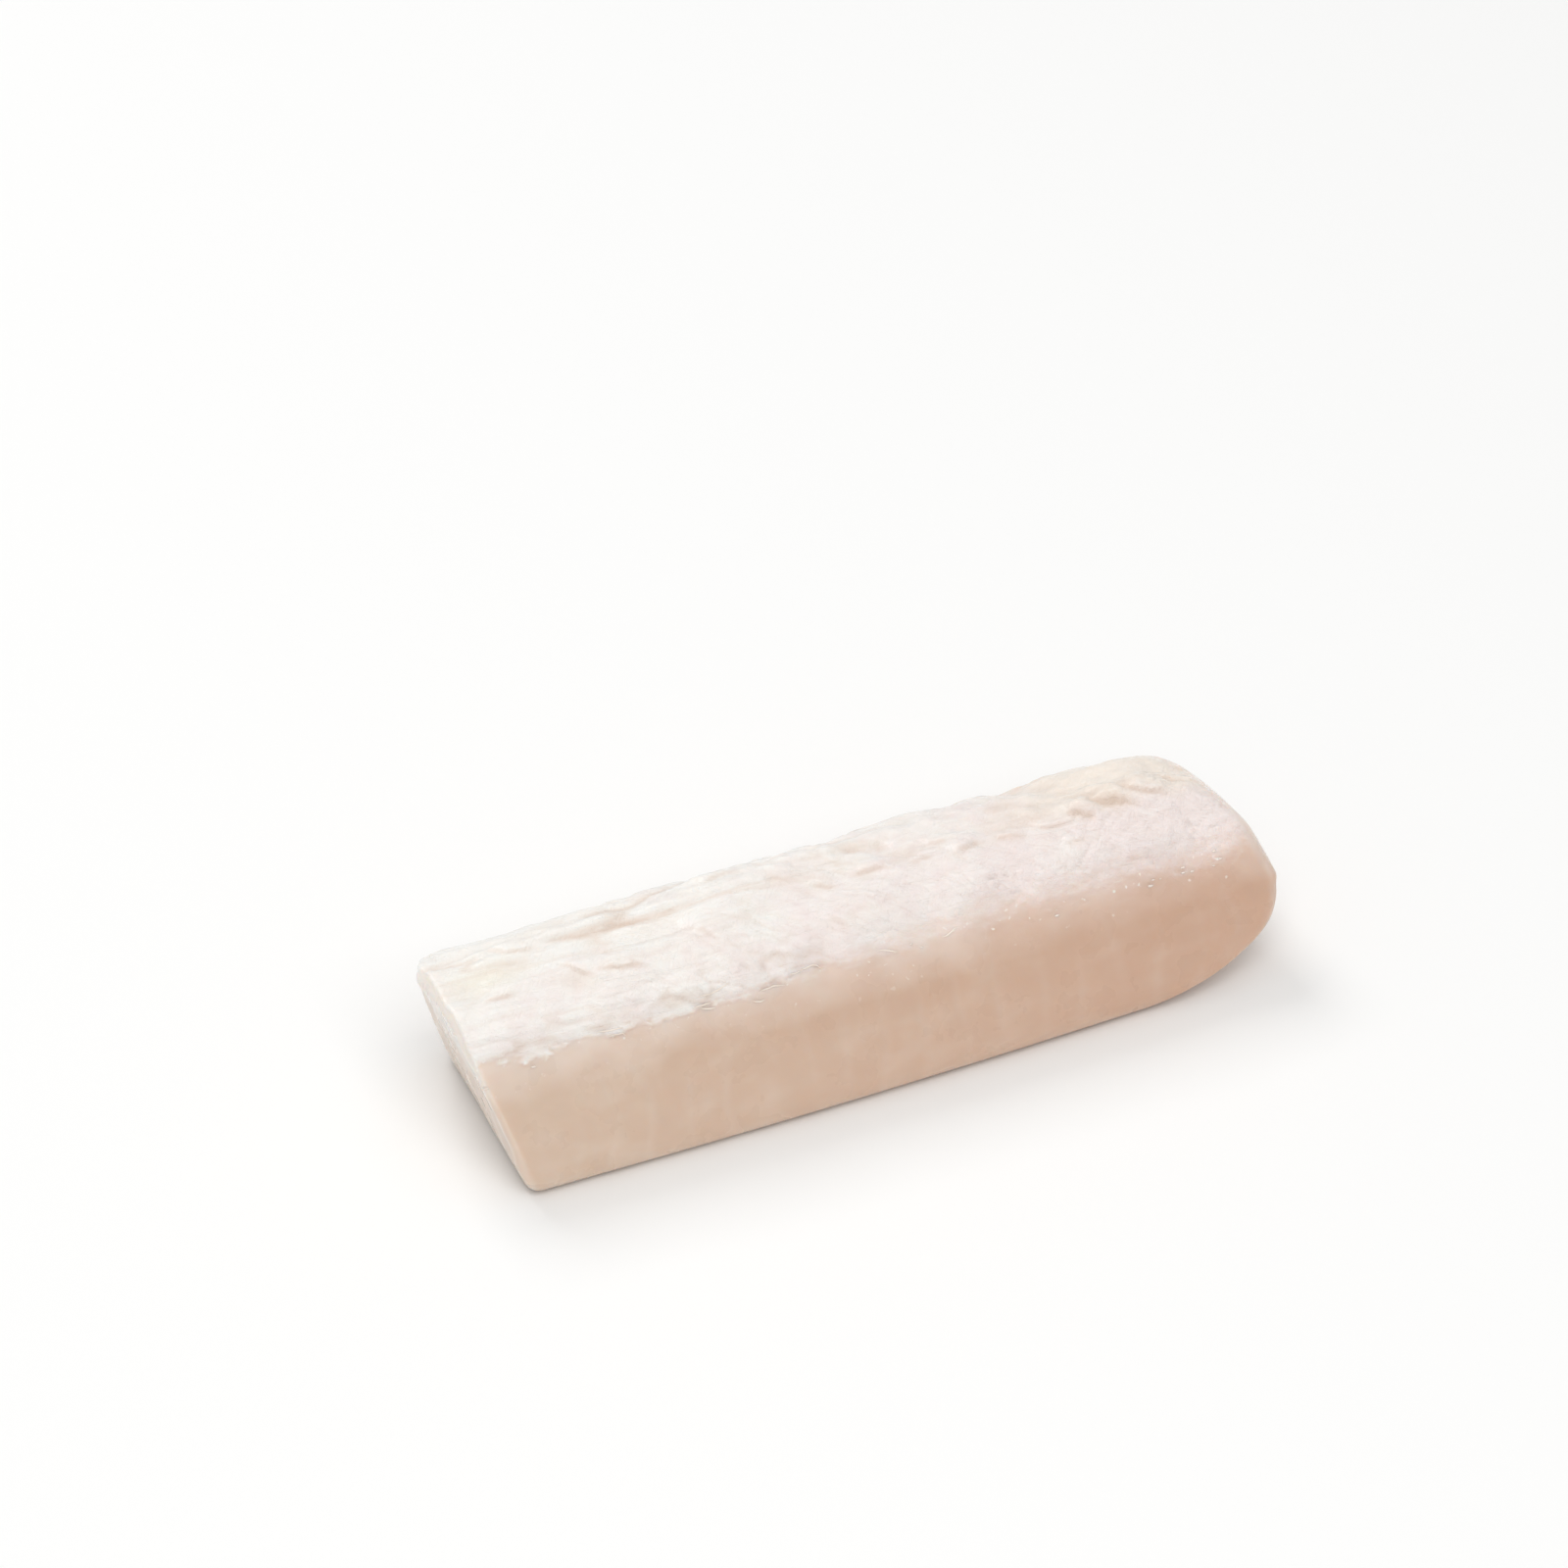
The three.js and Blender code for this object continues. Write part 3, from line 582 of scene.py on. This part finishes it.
def makeHakeTree(setup, material):
    sizes = {"Seed": setup["seed"], "Film thickness": setup["filmThickness"],
             "Film edge": setup["filmEdge"][0], "Film edge at middle": setup["filmEdge"][1],
             "Film edge at round end": setup["filmEdge"][2],
             "Flake spacing": setup["flakeSpacing"], "Flake depth": setup["flakeDepth"][0],
             "Flake depth on cuts": setup["flakeDepth"][1],
             "Crease width": setup["creaseWidth"], "Crease rise": setup["creaseRise"],
             "Crease dip": setup["creaseDip"], "Crease wander": setup["creaseWander"]}
    for relief in setup["reliefs"]:
        for key in ("length", "width", "height"):
            sizes[relief["name"] + " " + key] = relief[key]
    for dent in setup["dents"]:
        sizes[dent["name"] + " depth"] = dent["depth"]
    tree, values = newTree("hakeRelief", sizes)
    size = tree.nodes.new("NodeGroupInput").outputs
    shape = addNode(tree, "GeometryNodeSubdivisionSurface", {
        "Mesh": size["Geometry"], "Level": setup["subdivisions"]})
    place = addNode(tree, "GeometryNodeInputPosition")
    placeMm = addNode(tree, vectorNode, {0: place, "Scale": 1 / mm}, operation="SCALE")
    x = addNode(tree, axisNode, {0: placeMm}, out="X")
    z = addNode(tree, axisNode, {0: placeMm}, out="Z")
    facing = addNode(tree, "GeometryNodeInputNormal", out="Normal")
    up = addNode(tree, axisNode, {0: facing}, out="Z")
    endward = addNode(tree, axisNode, {0: facing}, out="X")
    endward = addNode(tree, mathNode, {0: endward}, operation="ABSOLUTE")
    cut = addNode(tree, rangeNode, {0: endward, (1, 2): setup["cutFacing"]}, **eased)
    fresh = addNode(tree, rangeNode, {0: x, (1, 2): setup["cutEndsFrom"], (3, 4): setup["cutEnds"]})
    fresh = addNode(tree, mathNode, {0: fresh, 1: cut}, operation="MULTIPLY")

    # the film covers the crown down to a torn edge, which softens past the middle; it stops at the cut ends
    edge = size["Film edge"]
    for reach, name in zip(setup["filmEdgeFrom"], ("Film edge at middle", "Film edge at round end")):
        edge = addNode(tree, rangeNode, {0: x, (1, 2): reach, 3: edge, 4: size[name]})
    lift = addNode(tree, mathNode, {0: z, 1: edge}, operation="SUBTRACT")
    for tear in setup["filmTears"]:
        step = (1 / tear["length"], 1 / tear["width"], 1 / tear["width"])
        cells = addNode(tree, vectorNode, {0: placeMm, 1: step}, operation="MULTIPLY")
        wave = addNode(tree, noiseNode, {
            "Vector": cells, "W": size["Seed"], "Scale": 1.0, "Detail": 3, "Roughness": 0.55}, **seeded)
        wave = addNode(tree, mathNode, {0: wave, 1: 0.5}, operation="SUBTRACT")
        lift = addNode(tree, mathNode, {0: wave, 1: tear["stray"], 2: lift}, operation="MULTIPLY_ADD")
    rise = addNode(tree, rangeNode, {0: x, (1, 2): setup["filmTipFrom"], 3: 0.0, 4: setup["filmTipRise"]})
    lift = addNode(tree, mathNode, {0: lift, 1: rise}, operation="SUBTRACT")
    soft = addNode(tree, rangeNode, {0: x, (1, 2): setup["filmSoftFrom"], (3, 4): setup["filmSoftness"]})
    share = addNode(tree, mathNode, {0: lift, 1: soft}, operation="DIVIDE")
    film = addNode(tree, rangeNode, {0: share, 1: -1.0, 2: 1.0}, **eased)
    crown = addNode(tree, rangeNode, {0: up, (1, 2): setup["crownFacing"]}, **eased)
    uncut = addNode(tree, rangeNode, {0: endward, (1, 2): setup["uncutFacing"]}, **eased)
    for limit in (crown, uncut):
        film = addNode(tree, mathNode, {0: film, 1: limit}, operation="MULTIPLY")

    # folds, creases, lumps and dents add up to one height along the normal, and to one tint of painted shade
    # in their hollows; in the round pit that tint is partly the bare flesh, where the film is gone
    total = addNode(tree, mathNode, {0: film, 1: size["Film thickness"]}, operation="MULTIPLY")
    tint = 0.0
    for i, relief in enumerate(setup["reliefs"]):
        seed = addNode(tree, mathNode, {0: size["Seed"], 1: setup["seedStep"] * i}, operation="ADD")
        rise, shade = reliefPattern(tree, placeMm, size, relief, seed)
        window = bellWindow(tree, placeMm, relief["middle"], relief["reach"])
        window = addNode(tree, mathNode, {0: window, 1: film}, operation="MULTIPLY")
        rise = addNode(tree, mathNode, {0: rise, 1: window}, operation="MULTIPLY")
        total = addNode(tree, mathNode, {0: rise, 1: size[relief["name"] + " height"], 2: total},
                        operation="MULTIPLY_ADD")
        shade = addNode(tree, mathNode, {0: shade, 1: window}, operation="MULTIPLY")
        tint = addNode(tree, mathNode, {0: shade, 1: relief["tint"], 2: tint}, operation="MULTIPLY_ADD")
    stray = addNode(tree, noiseNode, {
        "Vector": placeMm, "W": size["Seed"], "Scale": 1 / setup["creaseWave"], "Detail": 2}, **seeded)
    stray = addNode(tree, rangeNode, {0: stray, 1: 0.25, 2: 0.75, 3: -1.0, 4: 1.0})
    stray = addNode(tree, mathNode, {0: stray, 1: size["Crease wander"]}, operation="MULTIPLY")
    dip = addNode(tree, mathNode, {0: size["Crease dip"], 1: -1.0}, operation="MULTIPLY")
    for crease in setup["creases"]:
        lip, hollow = creasePattern(tree, placeMm, size, crease, stray)
        for part, height in ((lip, size["Crease rise"]), (hollow, dip)):
            part = addNode(tree, mathNode, {0: part, 1: film}, operation="MULTIPLY")
            total = addNode(tree, mathNode, {0: part, 1: height, 2: total}, operation="MULTIPLY_ADD")
        tint = addNode(tree, mathNode, {0: hollow, 1: setup["creaseShadeTint"], 2: tint},
                       operation="MULTIPLY_ADD")
    for dent in setup["dents"]:
        window = bellWindow(tree, placeMm, dent["middle"], dent["reach"], dent["turn"])
        depth = addNode(tree, mathNode, {0: window, 1: size[dent["name"] + " depth"]}, operation="MULTIPLY")
        total = addNode(tree, mathNode, {0: total, 1: depth}, operation="SUBTRACT")
        tint = addNode(tree, mathNode, {0: window, 1: dent["tint"], 2: tint}, operation="MULTIPLY_ADD")

    # flakes of muscle: cones nested along the length, so slanting lines on the flanks and rings on the ends
    offAxis = addNode(tree, vectorNode, {0: placeMm, 1: (0, *setup["flakeAxis"])}, operation="SUBTRACT")
    offAxis = addNode(tree, vectorNode, {0: offAxis, 1: (0, 1, 1)}, operation="MULTIPLY")
    radius = addNode(tree, vectorNode, {0: offAxis}, out="Value", operation="LENGTH")
    run = addNode(tree, mathNode, {0: radius, 1: setup["flakeSlope"], 2: x}, operation="MULTIPLY_ADD")
    run = addNode(tree, mathNode, {0: run, 1: size["Flake spacing"]}, operation="DIVIDE")
    sway = addNode(tree, noiseNode, {
        "Vector": placeMm, "W": size["Seed"], "Scale": 1 / setup["flakeWave"], "Detail": 2}, **seeded)
    run = addNode(tree, mathNode, {0: sway, 1: 2 * setup["flakeWander"], 2: run}, operation="MULTIPLY_ADD")
    middle = addNode(tree, mathNode, {0: run, 1: 0.5}, operation="PINGPONG")    # 0 at one line, 0.5 halfway
    line = addNode(tree, rangeNode, {0: middle, 1: setup["flakeLine"], 2: 0.0}, **eased)
    bareFlesh = addNode(tree, rangeNode, {0: film, 1: 0.5, 2: 0.0})
    under = addNode(tree, rangeNode, {0: z, (1, 2): setup["flakeFrom"], (3, 4): setup["flakeShare"]})
    under = addNode(tree, mathNode, {0: under, 1: cut}, operation="MAXIMUM")
    shown = addNode(tree, rangeNode, {0: sway, (1, 2): setup["flakeGaps"], 4: under})
    for limit in (bareFlesh, shown):
        line = addNode(tree, mathNode, {0: line, 1: limit}, operation="MULTIPLY")
    deep = addNode(tree, mixNode, {0: cut, 2: size["Flake depth"], 3: size["Flake depth on cuts"]})
    depth = addNode(tree, mathNode, {0: line, 1: deep}, operation="MULTIPLY")
    total = addNode(tree, mathNode, {0: total, 1: depth}, operation="SUBTRACT")
    pale = addNode(tree, mixNode, {0: cut, (2, 3): setup["flakeTint"]})
    flake = addNode(tree, mathNode, {0: line, 1: pale}, operation="MULTIPLY")

    offFloor = addNode(tree, rangeNode, {0: z, (1, 2): setup["reliefFrom"]}, **eased)
    total = addNode(tree, mathNode, {0: total, 1: offFloor}, operation="MULTIPLY")
    total = addNode(tree, mathNode, {0: total, 1: mm}, operation="MULTIPLY")
    offset = addNode(tree, vectorNode, {0: facing, "Scale": total}, operation="SCALE")

    # the material reads these; crease holds the painted shade in the hollows, in the round pit partly the
    # bare flesh
    for name, value in (("film", film), ("crease", tint), ("flake", flake), ("cut", fresh)):
        shape = addNode(tree, "GeometryNodeStoreNamedAttribute", {
            "Geometry": shape, "Name": name, "Value": value}, data_type="FLOAT", domain="POINT")
    shape = addNode(tree, "GeometryNodeSetPosition", {"Geometry": shape, "Offset": offset})
    endTree(tree, shape, material)
    return tree, values


portion = quadCopy(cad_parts["hake_portion"], "hakePortion", hakePortion)
applyTree(portion, *makeHakeTree(hakePortion, rawHakeMaterial(rawHake)))
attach(portion, "root")
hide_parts("hake_portion")
print("portion made:", len(portion.data.polygons), "faces")


def pieceOn(base, name):
    # a new piece that starts from another's mesh
    piece = bpy.data.objects.new(name, base.data.copy())
    bpy.context.collection.objects.link(piece)
    return piece


def scatterOn(tree, surface, density, seed, heading):
    # random points on a surface, and the turn that lays a thing there along a heading
    points = addNode(tree, "GeometryNodeDistributePointsOnFaces", {
        "Mesh": surface, "Density": density, "Seed": seed}, out="Points")
    stand = addNode(tree, alignNode, {"Vector": points.node.outputs["Normal"]}, axis="Z")
    return points, addNode(tree, alignNode, {"Rotation": stand, "Vector": heading}, axis="X", pivot_axis="Z")


# loose white threads of film along its torn edges. Lengths in mm.
filmThreads = {
    "colour": "#f8ebde",
    "finish": {"Roughness": 0.5},
    "density": 0.4,              # for each square mm of torn edge
    "length": 6.0,
    "lengthShares": (0.4, 1.3),  # of the shortest and the longest, against that
    "radius": 0.15,
    "sides": 6,
    "tipRadius": 0.2,            # against the radius
    "tipLength": 0.3,            # share of a thread over which it thins to a tip
    "flatness": 0.35,            # how far a thread stands up, against its width
    "wander": 3.0,               # how far a thread strays from straight
    "wanderWave": 5.0,           # length of the waves in which it does
    "spread": 0.6,               # how far it may turn off the length
    "points": 13,
    "seed": 3,
    "tornFrom": (0.0, 0.35),     # how whole the film is where a torn edge begins and is fully one
    "tornTo": (0.95, 0.5),       # and on its other side
    "middle": (-36, -12),        # thickest here, as the film is torn most at the slanted end
    "reach": (28, 9),
}


def makeThreadTree(setup, material):
    tree, values = newTree("filmThreads", {
        "Density": setup["density"] / mm ** 2, "Length": setup["length"] * mm,
        "Radius": setup["radius"] * mm, "Wander": setup["wander"] * mm, "Flatness": setup["flatness"]})
    size = tree.nodes.new("NodeGroupInput").outputs
    surface = size["Geometry"]
    place = addNode(tree, "GeometryNodeInputPosition")
    placeMm = addNode(tree, vectorNode, {0: place, "Scale": 1 / mm}, operation="SCALE")
    # how much of a torn edge a place on the portion is
    film = addNode(tree, "GeometryNodeInputNamedAttribute", {"Name": "film"}, data_type="FLOAT")
    bareSide = addNode(tree, rangeNode, {0: film, (1, 2): setup["tornFrom"]})
    wholeSide = addNode(tree, rangeNode, {0: film, (1, 2): setup["tornTo"]})
    torn = addNode(tree, mathNode, {0: bareSide, 1: wholeSide}, operation="MULTIPLY")
    window = bellWindow(tree, placeMm, setup["middle"], setup["reach"])
    torn = addNode(tree, mathNode, {0: torn, 1: window}, operation="MULTIPLY")
    density = addNode(tree, mathNode, {0: torn, 1: size["Density"]}, operation="MULTIPLY")
    # straight threads, each along the portion but for a small turn
    straight = addNode(tree, "GeometryNodeCurvePrimitiveLine", {
        "Start": (0, 0, 0), "End": addNode(tree, joinNode, {0: size["Length"]})})
    straight = addNode(tree, "GeometryNodeResampleCurve", {"Curve": straight, "Count": setup["points"]})
    slant = addNode(tree, randomNode, {
        2: -setup["spread"], 3: setup["spread"], "Seed": setup["seed"]}, out=1)
    heading = addNode(tree, joinNode, {0: 1.0, 1: slant})
    points, stand = scatterOn(tree, surface, density, setup["seed"], heading)
    long = addNode(tree, randomNode, {(2, 3): setup["lengthShares"], "Seed": setup["seed"] + 1}, out=1)
    threads = addNode(tree, "GeometryNodeInstanceOnPoints", {
        "Points": points, "Instance": straight, "Rotation": stand, "Scale": long})
    threads = addNode(tree, "GeometryNodeRealizeInstances", {"Geometry": threads})
    # each thread strays, then settles on the surface
    stray = addNode(tree, noiseNode, {
        "Vector": placeMm, "Scale": 1 / setup["wanderWave"], "Detail": 0}, out="Color")
    stray = addNode(tree, vectorNode, {0: stray, 1: (0.5, 0.5, 0.5)}, operation="SUBTRACT")
    stray = addNode(tree, vectorNode, {0: stray, "Scale": size["Wander"]}, operation="SCALE")
    threads = addNode(tree, "GeometryNodeSetPosition", {"Geometry": threads, "Offset": stray})
    settled = addNode(tree, "GeometryNodeProximity", {"Geometry": surface}, target_element="FACES")
    threads = addNode(tree, "GeometryNodeSetPosition", {"Geometry": threads, "Position": settled})
    # round in section, thinning out to both tips, then pressed towards the surface
    taper = addNode(tree, mathNode, {0: addNode(tree, "GeometryNodeSplineParameter"), 1: 0.5},
                    operation="PINGPONG")
    taper = addNode(tree, rangeNode, {
        0: taper, 1: 0.0, 2: setup["tipLength"], 3: setup["tipRadius"], 4: 1.0})
    ring = addNode(tree, "GeometryNodeCurvePrimitiveCircle", {
        "Resolution": setup["sides"], "Radius": size["Radius"]})
    shape = addNode(tree, "GeometryNodeCurveToMesh", {
        "Curve": threads, "Profile Curve": ring, "Scale": taper, "Fill Caps": True})
    pressed = addNode(tree, mixNode, {0: size["Flatness"], 4: settled, 5: place}, **vectorMix)
    shape = addNode(tree, "GeometryNodeSetPosition", {"Geometry": shape, "Position": pressed})
    endTree(tree, shape, material)
    return tree, values


threads = pieceOn(portion, "filmThreads")
# limp white connective tissue: matt white strands against the flesh
fibreTissue = plainMaterial("connective tissue", filmThreads)
applyTree(threads, *makeThreadTree(filmThreads, fibreTissue))
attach(threads, "root")
print("film threads made:", len(threads.data.polygons), "faces")

# beads of juice that glint where the film gives way to flesh. Lengths in mm.
juiceBeads = {
    # paler than clear juice: partly milky juice, partly painted glint
    "colour": "#f1e3d8",
    "finish": {"Roughness": 0.08, "IOR": 1.34, "Coat Weight": 1.0, "Coat Roughness": 0.03},
    "density": 0.8,              # for each square mm in the middle of a cluster
    "radii": (0.09, 0.24),
    "flatness": 0.6,             # height against width
    "stretch": 2.2,              # length against width
    "subdivisions": 2,
    "seed": 5,
    "reach": (1.0, 0.6, 2.0),    # of a cluster
    "thinnest": 0.1,             # share of the density below which there are none
    "clusters": [                # along, across and up, on the front flank and then on the back one
        (7.3, -14, 22), (32.3, -14.5, 22), (43.3, -14.5, 22), (50.3, -14, 22), (55.3, -13.5, 22),
        (61.5, -13.5, 22), (-54.7, -15, 21), (-61.7, -14, 21), (-70, -14, 20),
        (-45, 18, 20), (-8, 19.5, 20), (30, 19, 20), (58, 16, 20),
    ],
}


def makeBeadTree(setup, material):
    tree, values = newTree("juiceBeads", {
        "Density": setup["density"] / mm ** 2, "Smallest": setup["radii"][0] * mm,
        "Largest": setup["radii"][1] * mm, "Flatness": setup["flatness"], "Stretch": setup["stretch"]})
    size = tree.nodes.new("NodeGroupInput").outputs
    place = addNode(tree, "GeometryNodeInputPosition")
    placeMm = addNode(tree, vectorNode, {0: place, "Scale": 1 / mm}, operation="SCALE")
    share = 0.0
    for cluster in setup["clusters"]:
        window = bellWindow(tree, placeMm, cluster, setup["reach"])
        share = addNode(tree, mathNode, {0: share, 1: window}, operation="MAXIMUM")
    share = addNode(tree, rangeNode, {0: share, 1: setup["thinnest"], 2: 1.0})
    density = addNode(tree, mathNode, {0: share, 1: size["Density"]}, operation="MULTIPLY")
    points, stand = scatterOn(tree, size["Geometry"], density, setup["seed"], (1, 0, 0))
    bead = addNode(tree, "GeometryNodeMeshIcoSphere", {"Radius": 1.0, "Subdivisions": setup["subdivisions"]})
    radius = addNode(tree, randomNode, {
        2: size["Smallest"], 3: size["Largest"], "Seed": setup["seed"]}, out=1)
    flat = addNode(tree, mathNode, {0: radius, 1: size["Flatness"]}, operation="MULTIPLY")
    long = addNode(tree, mathNode, {0: radius, 1: size["Stretch"]}, operation="MULTIPLY")
    scale = addNode(tree, joinNode, {0: long, 1: radius, 2: flat})
    shape = addNode(tree, "GeometryNodeInstanceOnPoints", {
        "Points": points, "Instance": bead, "Rotation": stand, "Scale": scale})
    endTree(tree, shape, material)
    return tree, values


beads = pieceOn(portion, "juiceBeads")
# pale beads, partly milky juice and partly painted glint, seen mostly by their small bright reflections
juiceAndPaintedGlint = plainMaterial("milky fish juice and painted glint", juiceBeads)
applyTree(beads, *makeBeadTree(juiceBeads, juiceAndPaintedGlint))
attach(beads, "root")
print("juice beads made:", len(beads.data.polygons), "faces")
